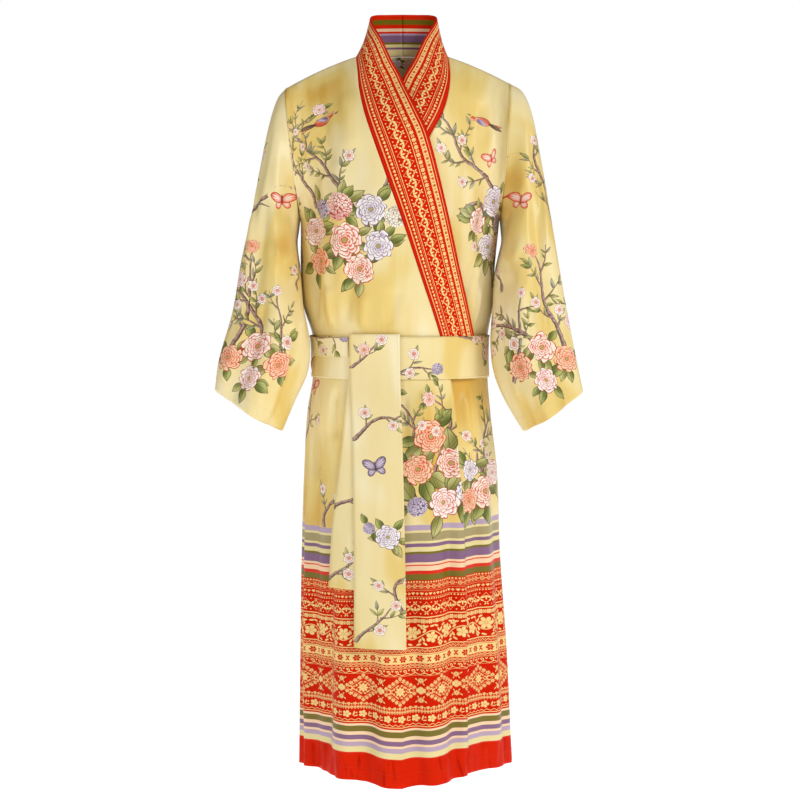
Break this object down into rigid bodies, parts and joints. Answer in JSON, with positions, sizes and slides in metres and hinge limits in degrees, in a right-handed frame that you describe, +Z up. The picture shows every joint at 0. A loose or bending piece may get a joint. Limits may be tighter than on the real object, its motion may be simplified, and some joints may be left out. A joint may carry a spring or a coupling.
{
  "type": "kimono robe",
  "caption": "Long wrap robe filled out as when worn, with a band collar, straight tapered sleeves, side-tied sash and hanging sash ends.",
  "frame": {"origin": "midway between the two side-neck points, where the wearer's shoulders carry the robe", "axes": "+Z up along the robe, +X towards the wearer's left, -Y the front"},
  "size_m": [0.6137, 0.318, 1.3056],
  "materials": {
    "satin": "yellow cotton satin with a floral print, soft sheen",
    "collar_band": "orange-red cotton satin with cream ornament rows",
    "sash": "pale yellow cotton satin with a sparse floral print"
  },
  "bodies": {
    "root": {"back": "satin", "front_right": "satin", "front_left": "satin", "sleeve_right": "satin", "sleeve_left": "satin", "collar_right": "collar_band", "collar_left": "collar_band", "belt_wrap": "sash", "belt_tail_short": "sash", "belt_tail_long": "sash"}
  },
  "joints": []
}
